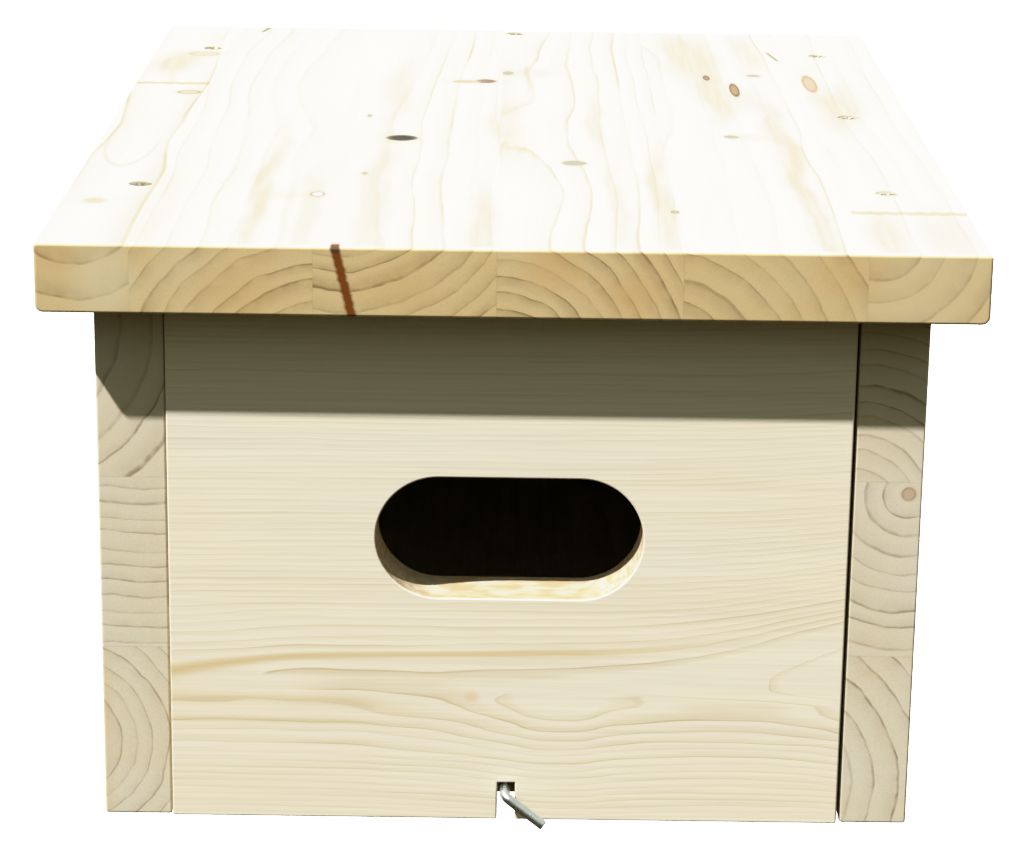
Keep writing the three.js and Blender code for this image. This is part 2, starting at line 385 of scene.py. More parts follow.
def minus(a, b):
    return calc("SUBTRACT", a, b)


def times(first, *others):
    for other in others:
        first = calc("MULTIPLY", first, other)
    return first


def apart(a, b):
    """How far one value is from another, either way."""
    return calc("ABSOLUTE", minus(a, b))


def painted(colour, paint, *masks):
    """The colour with another over it, as strong there as the masks multiplied together."""
    return mix_colour(times(*masks), colour, paint)


def point(tree, x, y, z):
    return node(tree, "ShaderNodeCombineXYZ", x, y, z)


def split(vector):
    return node(tree_of(vector), "ShaderNodeSeparateXYZ", vector).node.outputs[:]


def noise(vector, detail=2.0, roughness=0.5):
    return node(tree_of(vector), "ShaderNodeTexNoise", vector, None, 1.0, detail, roughness)


def millimetres(tree):
    """The place on the piece in millimetres, as x, y and z."""
    made = tree.nodes.new("ShaderNodeTexCoord")
    scaled = tree.nodes.new("ShaderNodeVectorMath")
    scaled.operation = "SCALE"
    scaled.inputs["Scale"].default_value = 1000
    tree.links.new(made.outputs["Object"], scaled.inputs[0])
    facing = split(made.outputs["Normal"])
    return split(scaled.outputs[0]), facing


def bump_from(tree, shader, height, strength, distance):
    bump = tree.nodes.new("ShaderNodeBump")
    bump.inputs["Strength"].default_value = strength
    bump.inputs["Distance"].default_value = distance
    tree.links.new(height, bump.inputs["Height"])
    tree.links.new(bump.outputs[0], shader.inputs["Normal"])


def ring_lines(count, seed, softness, sharp=0.93):
    """Dark summer wood at the end of each year's ring, stronger in some years than in others."""
    part = calc("FRACT", count)
    year = calc("FLOOR", count)
    narrow = ramp(part, sharp - 0.17, sharp, smooth=True)
    broad = times(ramp(part, 0.25, sharp), softness)
    fall = ramp(part, 1.0, sharp + 0.03, smooth=True)
    chance = node(tree_of(year), "ShaderNodeTexWhiteNoise", None, plus(year, seed), noise_dimensions="1D")
    line = times(calc("MAXIMUM", calc("POWER", narrow, 1.5), broad), fall)
    return times(line, ramp(chance, 0, 1, 0.4, 1.0))


def spruce(name, along, stack, staves, long_colours, end_colours, front_end=None, rings_of=None, extra=None,
           quiet=None, softness=0.3, glue_shows=0.12, warmth=1.0, relief_depth=0.16):
    """Spruce glued up of staves. The grain runs along x (0) or y (1), and the staves lie side by side on
    axis `stack`. A stave is its far edge, its heart's two places across the grain, its ring width,
    ring phase and how dark it is. Colours are those of spring wood and summer wood."""
    made, tree, shader = new_material(name)
    place, facing = millimetres(tree)
    run = place[along]
    side = place[stack]
    a, b = (place[i] for i in range(3) if i != along)

    def beyond(past, before, after):
        """One vector as far as a glue line, and another past it."""
        made = node(tree, "ShaderNodeMix", past, None, None, None, before, after, data_type="VECTOR")
        return made.node.outputs[1]

    heart = point(tree, *staves[0][1:4])
    kind = point(tree, staves[0][4], staves[0][5], 0.0)
    glue = None
    for number, stave in enumerate(staves[1:], 1):
        past = calc("GREATER_THAN", side, staves[number - 1][0])
        heart = beyond(past, heart, point(tree, *stave[1:4]))
        kind = beyond(past, kind, point(tree, stave[4], stave[5], 173.0 * number))
        line = ramp(apart(side, staves[number - 1][0]), 0.28, 0.1)
        glue = line if glue is None else calc("MAXIMUM", glue, line)
    heart_a, heart_b, ring_width = split(heart)
    phase, darkness, seed = split(kind)

    shifted = plus(run, seed)

    def grain(across, lengthwise, *settings):
        """Noise drawn out along the grain. The first two are how fast it changes each way."""
        spread = (times(a, across), times(b, across), times(shifted, lengthwise))
        return noise(point(tree, *spread), *settings)

    # The heart wanders as the tree grew, but starts where it is seen at the front end.
    off_a, off_b, _ = split(grain(0.008, 0.0045).node.outputs["Color"])
    furthest = 18.0
    reach = furthest if front_end is None else ramp(run, front_end, front_end + 90, 0.0, furthest)
    ripple = ramp(grain(0.11, 0.016), 0.25, 0.75, -0.55, 0.55)
    if rings_of is None:
        from_a = calc("MULTIPLY_ADD", minus(off_a, 0.5), reach, minus(a, heart_a))
        from_b = calc("MULTIPLY_ADD", minus(off_b, 0.5), reach, minus(b, heart_b))
        radius = calc("SQRT", plus(times(from_a, from_a), times(from_b, from_b)))
    else:
        radius = rings_of(place)
    radius = plus(radius, ripple)
    count = plus(calc("DIVIDE", radius, ring_width), phase)
    uneven = noise(point(tree, plus(times(count, 0.6), seed), 0.0, 0.0), 1.0)
    count = plus(count, ramp(uneven, 0.25, 0.75, -0.22, 0.22))
    lines = ring_lines(count, seed, softness)
    lines = times(lines, ramp(grain(0.22, 0.013), 0.33, 0.6, 0.45, 1.0))
    if quiet is not None:
        lines = times(lines, quiet(place, radius))

    fibre = grain(1.9, 0.03, 3.0, 0.6)
    pores = grain(2.6, 2.6, 3.0, 0.65)
    end = ramp(calc("ABSOLUTE", facing[along]), 0.55, 0.8)

    weight = times(lines, darkness)
    long_wood = mix_colour(weight, *long_colours)
    end_wood = mix_colour(weight, *end_colours)
    warm = ramp(grain(0.05, 0.009, 3.0), 0.3, 0.7, 0.0, warmth)
    long_warm = mix_colour(1.0, long_wood, (1.0, 0.965, 0.90), "MULTIPLY")
    end_warm = mix_colour(1.0, end_wood, (1.0, 0.95, 0.86), "MULTIPLY")
    colour = mix_colour(end, painted(long_wood, long_warm, warm), painted(end_wood, end_warm, warm))
    long_tone = times(ramp(fibre, 0.25, 0.75, 0.93, 1.045), ramp(grain(0.4, 0.007), 0.3, 0.7, 0.965, 1.03))
    end_tone = ramp(pores, 0.25, 0.75, 0.90, 1.06)
    tone = ramp(end, 0.0, 1.0, long_tone, end_tone)
    colour = mix_colour(1.0, colour, node(tree, "ShaderNodeCombineColor", tone, tone, tone), "MULTIPLY")
    if glue is not None:
        colour = painted(colour, (0.22, 0.15, 0.065), glue, ramp(end, 0, 1, 0.05, glue_shows))
    if extra is not None:
        colour = extra(tree, colour, place, facing, shifted)
    tree.links.new(colour, shader.inputs["Base Color"])
    tree.links.new(ramp(fibre, 0.3, 0.7, 0.52, 0.66), shader.inputs["Roughness"])
    shader.inputs["Specular IOR Level"].default_value = 0.32
    relief = plus(times(lines, 0.5), ramp(end, 0.0, 1.0, fibre, pores))
    bump_from(tree, shader, relief, relief_depth, 0.00012)
    return made


def spot(x, y, at, radius, stretch=1.0, edge=0.35):
    """1 inside a round or long spot on a face, fading over its edge."""
    dx = minus(x, at[0])
    dy = calc("DIVIDE", minus(y, at[1]), stretch)
    away = calc("SQRT", plus(times(dx, dx), times(dy, dy)))
    return ramp(away, radius * (1 + edge), radius * (1 - edge), smooth=True)


roof_staves = (
    (-97.0, -111.0, 173.0, 7.5, 0.52, 0.9),
    (-50.6, -46.0, 118.0, 5.0, 0.0, 0.9),
    (-4.1, -44.0, 187.0, 4.8, 0.15, 0.9),
    (43.2, -3.0, 129.0, 4.4, 0.2, 0.9),
    (89.7, 36.5, 125.0, 6.0, 0.0, 0.9),
    (200.0, 92.3, 166.0, 7.0, 0.4, 0.9),
)
roof_front = roof_low.y * 1000


def roof_marks(tree, colour, place, facing, run):
    """Stain, knots, finger joints and a pale loop on top, and patches and resin on the front end."""
    x, y, z = place
    back = minus(y, roof_front)
    bend = noise(point(tree, 0.0, times(back, 0.02), 3.0), 2.0)
    bent_x = plus(x, ramp(bend, 0.25, 0.75, -2.5, 2.5))
    speckle = noise(point(tree, times(x, 0.5), times(y, 0.03), z), 3.0)
    speckle = times(ramp(speckle, 0.3, 0.6, 0.7, 0.95), ramp(back, 0.8, 3.0))
    stain = (0.325, 0.235, 0.18)
    # Each is its middle, half its width, its length over its width, and how strong it is.
    streaks = (((-68, 66), 3.0, 26, 0.85), ((-37, 55), 4.2, 22, 0.7), ((-36, 215), 4.4, 12, 0.6),
               ((-3, 160), 5.5, 7, 0.7), ((-8, 22), 3.4, 16, 0.8), ((24, 165), 2.8, 14, 0.7),
               ((40, 60), 3.2, 22, 0.85), ((28, 52), 2.4, 26, 0.65), ((57, 285), 9.5, 5, 0.9),
               ((63, 215), 5.0, 10, 0.9), ((77, 290), 4.0, 9, 0.75), ((78, 150), 3.6, 20, 0.85),
               ((80, 50), 2.8, 34, 0.9), ((99, 190), 6.5, 5, 0.9), ((106, 215), 4.2, 6, 0.7),
               ((-112, 258), 7.0, 3, 0.9), ((96, 22), 4.6, 6, 0.85), ((112, 24), 7.0, 4, 0.7),
               ((-95, 40), 7.0, 9, 0.35), ((-54, 40), 2.8, 20, 0.6), ((6, 247), 6.0, 1.6, 0.6),
               ((70, 146), 5.5, 1.2, 0.5), ((-62, 60), 6.0, 1.0, 0.45), ((72, 205), 4.0, 6, 0.6))
    for at, radius, stretch, strength in streaks:
        colour = painted(colour, stain, spot(bent_x, back, at, radius, stretch, 0.6), strength, speckle)
    # Each is its middle, half its width, its length over its width, its colour, and its core's.
    tan, grey, brown = (0.29, 0.225, 0.165), (0.20, 0.19, 0.15), (0.15, 0.10, 0.065)
    knots = (((-104, 275.5), 5.6, 0.8, (0.29, 0.23, 0.18), (0.36, 0.29, 0.225)),
             ((-102.3, 206.4), 4.0, 0.9, (0.20, 0.165, 0.125), (0.33, 0.27, 0.215)),
             ((-33, 139), 4.7, 0.95, (0.06, 0.055, 0.035), (0.014, 0.012, 0.009)),
             ((-53, 61.5), 2.1, 1.5, (0.16, 0.15, 0.12), (0.5, 0.47, 0.41)),
             ((17, 106.5), 3.8, 1.0, grey, grey),
             ((69.8, 222.5), 1.6, 7.5, (0.06, 0.035, 0.015), (0.19, 0.115, 0.05)),
             ((94.8, 235), 2.4, 6.6, (0.21, 0.14, 0.09), (0.30, 0.21, 0.145)),
             ((-9.4, 232), 3.6, 1.1, (0.17, 0.12, 0.08), (0.10, 0.07, 0.045)),
             ((-16, 231), 4.5, 0.6, tan, tan), ((-2.4, 247), 1.9, 2.0, grey, grey),
             ((62, 243), 1.1, 4.2, (0.05, 0.03, 0.015), brown), ((77.6, 248), 2.4, 1.1, grey, grey),
             ((64, 147), 2.4, 1.2, grey, grey), ((42.8, 45.5), 1.2, 1.6, brown, grey),
             ((-41.6, 89), 1.0, 2.0, tan, grey), ((-44, 172), 0.9, 3.0, tan, grey),
             ((-111.8, 50), 3.4, 1.1, (0.37, 0.31, 0.235), (0.33, 0.27, 0.2)))
    for at, radius, stretch, rim, core in knots:
        colour = painted(colour, stain, spot(x, back, at, radius * 1.6, stretch * 1.2, 0.5), 0.3)
        colour = painted(colour, rim, spot(x, back, at, radius, stretch, 0.2))
        colour = painted(colour, core, spot(x, back, at, radius * 0.68, stretch, 0.25))
    # Two short dark slanting marks, each its middle, its slope and half its length.
    for at, tilt, reach in (((-87, 325), 5.0, 7.0), ((86.4, 284), -6.2, 11.0)):
        middle = calc("MULTIPLY_ADD", minus(x, at[0]), tilt, at[1])
        colour = painted(colour, (0.10, 0.085, 0.06), ramp(apart(back, middle), 6.5, 3.0),
                         ramp(apart(back, at[1]), reach, reach * 0.6), 0.85)
    # Finger joints: a fine zigzag across a stave, from one edge of it to the other.
    for low, high, at in ((89.7, 121, 47), (-121, -97, 221)):
        joint = calc("MULTIPLY_ADD", calc("PINGPONG", x, 2.2), 0.4, float(at))
        colour = painted(colour, (0.25, 0.18, 0.125), ramp(apart(back, joint), 3.2, 1.2),
                         calc("GREATER_THAN", x, low), calc("LESS_THAN", x, high), 0.8)
    loop = minus(spot(x, back, (-110.5, 128), 7.6, 4.6, 0.05), spot(x, back, (-110.5, 130), 7.0, 4.6, 0.05))
    colour = painted(colour, (0.26, 0.24, 0.19), ramp(loop, 0, 1, 0, 0.6), ramp(back, 150, 120))
    # The front end: paler and rosier patches, and a dark streak of resin down through the third stave.
    for at, radius, strength in (((-103, 152), 7.5, 0.65), ((-86, 159), 6.0, 0.3), ((106, 152), 15.0, 0.3)):
        colour = painted(colour, (0.54, 0.475, 0.315), spot(x, z, at, radius, 1.3, 0.6),
                         ramp(back, 1.5, 0.8, 0, strength))
    for at, radius, strength in (((-70, 149), 9.0, 0.35), ((-27, 150), 8.0, 0.35), ((10, 156), 7.0, 0.45),
                                 ((30, 150), 7.0, 0.45), ((84, 155), 7.0, 0.35), ((-116, 157), 5.0, 0.35)):
        colour = painted(colour, (0.50, 0.31, 0.13), spot(x, z, at, radius, 0.7, 0.8),
                         ramp(back, 1.5, 0.8, 0, strength))
    wobble = ramp(noise(point(tree, 0.0, 0.0, times(z, 0.5))), 0.3, 0.7, -0.3, 0.3)
    streak = calc("MULTIPLY_ADD", z, -0.245, -5.6)
    colour = painted(colour, (0.14, 0.036, 0.0), ramp(apart(plus(x, wobble), streak), 1.6, 0.8),
                     ramp(back, 7, 2))
    return painted(colour, (0.06, 0.026, 0.008), spot(x, z, (-44.9, 160.5), 1.15, 1.0, 0.4),
                   ramp(back, 4, 2))


# Its long-grain colours are a little darker than the other boards' spruce: painted shade that holds down the
# strong key light on the roof's top.
roof_spruce = spruce("spruce_roof", 1, 0, roof_staves,
                     ((0.62, 0.58, 0.475), (0.25, 0.205, 0.15)), ((0.525, 0.415, 0.225), (0.20, 0.13, 0.05)),
                     roof_front, extra=roof_marks, softness=0.55)
roof = add_object("roof_board_visual", roof_shape, roof_spruce)
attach(roof, "box")
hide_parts("roof_board")


# ---- Side boards ----
# Two boards, each of three staves, standing on edge. Their front ends show the end grain. The
# hanging panel's two pivot screws go through them, and so do the floor's and the back panel's screws.
side_staves = {
    "left": ((48.0, -119.0, 21.3, 4.4, 0.4, 0.75), (95.3, -89.0, 340.0, 4.3, 0.3, 0.8),
             (200.0, -133.4, 137.0, 7.2, 0.45, 0.9)),
    "right": ((48.0, 66.5, 10.8, 6.3, 0.75, 0.9), (96.6, 104.5, 93.5, 5.15, 0.6, 0.9),
              (200.0, 90.5, 90.0, 4.6, 0.7, 0.9)),
}
side_colours = ((0.66, 0.60, 0.455), (0.56, 0.45, 0.27))
side_end_colours = ((0.585, 0.54, 0.445), (0.26, 0.195, 0.12))


def heart_spot(tree, colour, place, facing, run):
    """The pinkish heart of the middle stave."""
    x, y, z = place
    return painted(colour, (0.40, 0.20, 0.13), spot(x, z, (104.5, 93.5), 1.9, 0.9, 0.7), 0.5)


def left_tint(tree, colour, place, facing, run):
    """An orange-yellow tint along the outer edge of the lowest stave."""
    x, y, z = place
    return painted(colour, (0.55, 0.36, 0.10), ramp(x, -104.5, -108), ramp(z, 50, 40), 0.3)


side_screws = ["floor_screw_%s_front", "floor_screw_%s_middle", "floor_screw_%s_back",
               "back_screw_%s_lower", "back_screw_%s_upper"]
for hand, way, tint in (("left", -1, left_tint), ("right", 1, heart_spot)):
    low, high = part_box("side_board_" + hand)
    thickness = high.x - low.x
    shape = sawn_board(outline_of("side_board_" + hand, 0.0008), low.y, high.y, 0.0006)
    screws = [(m.y, m.z) for m in heads(*(at % hand for at in side_screws))]
    drill(shape, 0, way, screws, (*countersink, (pilot_radius, thickness)))
    pivot = heads("pivot_screw_" + hand)[0]
    drill(shape, 0, way, [(pivot.y, pivot.z)], (*pivot_countersink, (pivot_radius, thickness)))
    under_roof = [(m.x, m.y) for m in heads(*(name for name in roof_screws if hand in name))]
    drill(shape, 2, 1, under_roof, top_pilot)
    wood = spruce("spruce_side_" + hand, 1, 2, side_staves[hand], side_colours, side_end_colours,
                  low.y * 1000, extra=tint)
    side = add_object(f"side_board_{hand}_visual", shape, wood)
    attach(side, "box")
    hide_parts("side_board_" + hand)


# ---- Back panel ----
# A board of three staves between the side boards, its grain lying level, with two holes for hanging
# the box on a wall. Screws come into its ends from the sides and into its top from the roof.
back_low, back_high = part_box("back_panel")
hanging_hole = 0.0035
hanging_spread = 0.060
hanging_height = 0.108


def round_hole(x, z, radius, steps=40):
    turns = [2 * math.pi * i / steps for i in range(steps)]
    return [Vector((x + radius * math.cos(t), z + radius * math.sin(t))) for t in turns]


hanging_holes = [round_hole(x, hanging_height, hanging_hole) for x in (-hanging_spread, hanging_spread)]
back_shape = sawn_board(outline_of("back_panel", 0.0008), back_low.y, back_high.y, 0.0006, hanging_holes)
for hand, way in (("left", -1), ("right", 1)):
    names = [f"back_screw_{hand}_{at}" for at in ("lower", "upper")]
    drill(back_shape, 0, way, [(m.y, m.z) for m in heads(*names)], side_pilot)
rear = heads("roof_screw_rear")[0]
drill(back_shape, 2, 1, [(rear.x, rear.y)], top_pilot)
back_staves = ((46.0, 205.0, 20.0, 5.6, 0.2, 0.8), (95.0, 130.0, 60.0, 5.0, 0.5, 0.85),
               (200.0, 190.0, 125.0, 6.2, 0.3, 0.8))
back_spruce = spruce("spruce_back", 0, 2, back_staves, ((0.68, 0.62, 0.475), (0.57, 0.455, 0.27)),
                     side_end_colours)
back = add_object("back_panel_visual", back_shape, back_spruce)
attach(back, "box")
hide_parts("back_panel")


# ---- Floor board ----
# A board of four staves between the side boards, its grain running front to back like theirs. The
# hook is screwed into the middle of its front edge.
floor_low, floor_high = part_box("floor_board")
floor_shape = sawn_board(outline_of("floor_board", 0.0008), floor_low.y, floor_high.y, 0.0006)
for hand, way in (("left", -1), ("right", 1)):
    names = [f"floor_screw_{hand}_{at}" for at in ("front", "middle", "back")]
    drill(floor_shape, 0, way, [(m.y, m.z) for m in heads(*names)], side_pilot)
hook_x = -0.0003
hook_z = 0.0087
wire_radius = 0.00135
hook_hole = wire_radius + 0.00015
drill(floor_shape, 1, -1, [(hook_x, hook_z)], ((hook_hole, 0), (hook_hole, 0.0182)))
floor_staves = ((-45.0, -70.0, 60.0, 5.4, 0.1, 0.8), (2.0, -20.0, -25.0, 5.0, 0.6, 0.8),
                (47.0, 30.0, 45.0, 6.0, 0.3, 0.8), (200.0, 70.0, -18.0, 4.8, 0.2, 0.8))
floor_spruce = spruce("spruce_floor", 1, 0, floor_staves, ((0.67, 0.61, 0.465), (0.56, 0.45, 0.27)),
                      side_end_colours)
floor = add_object("floor_board_visual", floor_shape, floor_spruce)
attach(floor, "box")
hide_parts("floor_board")


# ---- Front panel ----
# One plain-sawn plank that hangs on two screws and is the door, with a long entrance cut through it
# and a small notch in its lower edge that lets the hook out.
door_low, door_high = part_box("front_panel")
entrance_half = 0.03525
entrance_radius = 0.0167
entrance_z = 0.0798
notch_half = 0.0024
notch_top = 0.0107
# It hangs a little to the left, so the gap shows at its right edge.
hangs_left = 0.0003
pivot_pilot = 0.00215
door_left = door_low.x - hangs_left
door_right = door_high.x - hangs_left

door_outline = rounded(
    ((door_left, 0, 0.0006), (-notch_half, 0, 0.0006), (-notch_half, notch_top, 0.0002),
     (notch_half, notch_top, 0.0002), (notch_half, 0, 0.0006), (door_right, 0, 0.0006),
     (door_right, door_high.z, 0.0008), (door_left, door_high.z, 0.0008)), 0.0005, 3)
entrance = rounded(
    ((-entrance_half, entrance_z - entrance_radius), (entrance_half, entrance_z - entrance_radius),
     (entrance_half, entrance_z + entrance_radius), (-entrance_half, entrance_z + entrance_radius)),
    entrance_radius - 1e-6, 18)
door_shape = sawn_board(door_outline, door_low.y, door_high.y, 0.00045, [entrance])
for hand, way in (("left", -1), ("right", 1)):
    pivot = heads("pivot_screw_" + hand)[0]
    drill(door_shape, 0, way, [(pivot.y, pivot.z)], ((pivot_pilot, 0), (pivot_pilot, 0.0202)))


def curve_of(value, points):
    """A smooth curve through the points, which run from 0 to 1 both ways."""
    tree = tree_of(value)
    made = tree.nodes.new("ShaderNodeFloatCurve")
    made.inputs["Factor"].default_value = 1.0
    line = made.mapping.curves[0]
    line.points[0].location = points[0]
    line.points[-1].location = points[-1]
    for at in points[1:-1]:
        line.points.new(*at)
    made.mapping.update()
    tree.links.new(value, made.inputs["Value"])
    return made.outputs[0]


plank_heart = 37.0
plank_depth = 24.0
plank_swell = 500.0


def plank_rings(place):
    """The heart of the tree lies behind the face and rises towards it at the right, so the rings open out
    there. Below the heart a swelling pushes them down in a pocket right of the middle."""
    x, y, z = place
    across = ramp(x, -90, 90)
    above = curve_of(across, ((0, 0.01), (0.083, 0.066), (0.167, 0.128), (0.25, 0.152), (0.389, 0.17),
                              (0.556, 0.206), (0.667, 0.232), (0.75, 0.31), (0.833, 0.45), (0.917, 0.70),
                              (1, 1.0)))
    below = curve_of(across, ((0, 0.0), (0.222, 0.0), (0.278, 0.013), (0.328, 0.07), (0.389, 0.12),
                              (0.456, 0.22), (0.5, 0.30), (0.578, 0.395), (0.667, 0.28), (0.75, 0.21),
                              (0.833, 0.195), (0.917, 0.23), (1, 0.34)))
    height = minus(z, plank_heart)
    side = ramp(height, -3.5, 1.5, smooth=True)
    swell = times(ramp(side, 0.0, 1.0, below, above), plank_swell)
    # Deeper in the wood the heart is nearer.
    depth = minus(plank_depth, minus(y, door_low.y * 1000))
    total = plus(times(height, height), times(depth, depth))
    return calc("SQRT", calc("MAXIMUM", minus(total, swell), 0.5))


def plank_quiet(place, ring):
    """Which rings show near the heart: the outer ones, one in the fan at the right, and the pocket's."""
    x, y, z = place
    upper = ramp(z, 35, 38)
    start = ramp(upper, 0.0, 1.0, 20.7, 21.9)
    outer = ramp(ring, start, plus(start, 0.3))
    fan = ramp(apart(ring, 16.85), 0.8, 0.5)
    shown = times(calc("MAXIMUM", outer, fan), ramp(ring, 30, 50, 1.0, 0.6))
    # The ring nearest the heart fades out at the left.
    near = times(ramp(apart(z, 38.0), 3.6, 2.8), ramp(x, -44, -58))
    return times(shown, minus(1.0, near))


def plank_marks(tree, colour, place, facing, run):
    """The broad golden ring and a paler one below it, an orange fleck, and the entrance's rougher wall."""
    x, y, z = place
    ring = plank_rings(place)
    waver = noise(point(tree, times(x, 0.02), 0.0, times(z, 0.05)))
    golden = plus(ramp(waver, 0.3, 0.7, -0.1, 0.1), ramp(z, 36, 38, 24.1, 24.38))
    upper = times(ramp(z, 37, 38.5), ramp(x, 62, 20, 0.1, 1.0))
    lower = times(ramp(z, 37, 36, 0, 0.4), ramp(x, -20, -42))
    colour = painted(colour, (0.56, 0.43, 0.215), ramp(apart(ring, golden), 0.62, 0.1, smooth=True),
                     plus(upper, lower), 0.7)
    colour = painted(colour, (0.56, 0.46, 0.245), ramp(apart(ring, 25.75), 0.35, 0.05),
                     ramp(x, -25, -45, 0, 0.4), calc("LESS_THAN", z, 34.0))
    colour = painted(colour, (0.62, 0.40, 0.19), spot(x, z, (-9.5, 35.3), 1.7, 0.8, 0.7), 0.4)
    streaky = noise(point(tree, times(x, 0.12), times(y, 0.25), z))
    bare = mix_colour(ramp(streaky, 0.4, 0.6), (0.50, 0.43, 0.33), (0.42, 0.31, 0.18))
    return painted(colour, bare, ramp(calc("ABSOLUTE", facing[1]), 0.7, 0.3), calc("GREATER_THAN", z, 60.0))


plank_stave = ((300.0, 0.0, 0.0, 1.45, 0.24, 1.0),)
door_spruce = spruce("spruce_front", 0, 2, plank_stave, ((0.72, 0.668, 0.57), (0.53, 0.44, 0.27)),
                     ((0.62, 0.55, 0.40), (0.45, 0.37, 0.22)), rings_of=plank_rings, extra=plank_marks,
                     quiet=plank_quiet, softness=0.55, warmth=0.6, relief_depth=0.08)
door = add_object("front_panel_visual", door_shape, door_spruce)
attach(door, "door")
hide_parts("front_panel")


# ---- Screws ----
# Zinc-plated countersunk wood screws with a cross recess, driven just below the wood's surface.
# Sixteen hold the box together, and two thicker ones are the pivots of the front panel.
def screw_maker():
    """A tree that puts one screw on each point, its head's face there and square to the point's facing."""
    tree = bpy.data.node_groups.new("countersunk_screws", "GeometryNodeTree")
    face = tree.interface

    def size(name, kind="NodeSocketFloat"):
        face.new_socket(name, in_out="INPUT", socket_type=kind)

    size("Points", "NodeSocketGeometry")
    for name in ("Head Radius", "Thread Radius", "Length", "Plain Length", "Thread Pitch", "Recess Depth"):
        size(name)
    size("Seed", "NodeSocketInt")
    size("Metal", "NodeSocketMaterial")
    face.new_socket("Screws", in_out="OUTPUT", socket_type="NodeSocketGeometry")
    given = tree.nodes.new("NodeGroupInput").outputs

    # The body: a grid rolled up into head, cone, shank, thread and point.
    around, stations = 20, 120
    grid = node(tree, "GeometryNodeMeshGrid", 1.0, 1.0, stations + 1, around + 1)
    spot_x, spot_y, _ = split(tree.nodes.new("GeometryNodeInputPosition").outputs[0])
    down = times(plus(spot_x, 0.5), given["Length"])
    turn = plus(spot_y, 0.5)
    cone = minus(given["Head Radius"], calc("MAXIMUM", minus(down, 0.0004), 0.0))
    wave = calc("FRACT", minus(calc("DIVIDE", down, given["Thread Pitch"]), turn))
    ridge = calc("MAXIMUM", calc("MULTIPLY_ADD", calc("ABSOLUTE", minus(wave, 0.5)), -3.2, 1.0), 0.0)
    threaded = ramp(down, given["Plain Length"], plus(given["Plain Length"], 0.0015))
    depth_of_cut = minus(1.0, times(threaded, minus(1.0, ridge)))
    shank = times(given["Thread Radius"], calc("MULTIPLY_ADD", depth_of_cut, 0.3, 0.7))
    radius = calc("MAXIMUM", cone, shank)
    left = minus(given["Length"], down)
    taper = calc("MINIMUM", calc("DIVIDE", left, times(given["Thread Radius"], 3.0)), 1.0)
    radius = times(radius, taper)
    angle = times(turn, 2 * math.pi)
    rolled = point(tree, times(radius, calc("COSINE", angle)), times(radius, calc("SINE", angle)),
                   times(down, -1.0))
    body = node(tree, "GeometryNodeSetPosition", grid, None, rolled)

    corners = 12

    def cross(number, row):
        """The place of a corner of the cross recess, which narrows as it gets deeper."""
        number = calc("MODULO", number, float(corners))
        third = calc("MODULO", number, 3.0)
        arm = calc("FLOOR", calc("DIVIDE", plus(number, 0.01), 3.0))
        half = times(given["Head Radius"], 0.15)
        reach = times(given["Head Radius"], 0.56)
        inner = calc("GREATER_THAN", third, 1.5)
        x = calc("MULTIPLY_ADD", inner, minus(half, reach), reach)
        y = times(half, calc("MULTIPLY_ADD", calc("LESS_THAN", third, 0.5), -2.0, 1.0))
        narrow = node(tree, "ShaderNodeMath", row, -0.55, 1.0, operation="MULTIPLY_ADD")
        flat = point(tree, times(x, narrow), times(y, narrow), times(row, given["Recess Depth"], -1.0))
        return node(tree, "ShaderNodeVectorRotate", flat, None, None, times(arm, math.pi / 2),
                    rotation_type="Z_AXIS")

    index = tree.nodes.new("GeometryNodeInputIndex").outputs[0]

    def ring(count, fill):
        made = tree.nodes.new("GeometryNodeMeshCircle")
        made.fill_type = fill
        made.inputs["Vertices"].default_value = count
        return made

    rim = ring(around, "NONE")
    tree.links.new(given["Head Radius"], rim.inputs["Radius"])
    slot_edge = node(tree, "GeometryNodeSetPosition", ring(corners, "NONE").outputs[0], None,
                     cross(index, 0.0))
    edges = tree.nodes.new("GeometryNodeJoinGeometry")
    for mesh in (rim.outputs[0], slot_edge):
        tree.links.new(node(tree, "GeometryNodeMeshToCurve", mesh), edges.inputs[0])
    top = node(tree, "GeometryNodeFillCurve", edges.outputs[0])
    walls_grid = node(tree, "GeometryNodeMeshGrid", 1.0, 1.0, 3, corners + 1)
    around_slot = calc("ROUND", times(turn, float(corners)))
    walls = node(tree, "GeometryNodeSetPosition", walls_grid, None, cross(around_slot, plus(spot_x, 0.5)))
    bottom = node(tree, "GeometryNodeSetPosition", ring(corners, "NGON").outputs[0], None,
                  cross(index, 1.0))

    whole = tree.nodes.new("GeometryNodeJoinGeometry")
    for mesh in (body, top, walls, bottom):
        tree.links.new(mesh, whole.inputs[0])
    welded = tree.nodes.new("GeometryNodeMergeByDistance")
    welded.inputs["Distance"].default_value = 2e-6
    tree.links.new(whole.outputs[0], welded.inputs[0])

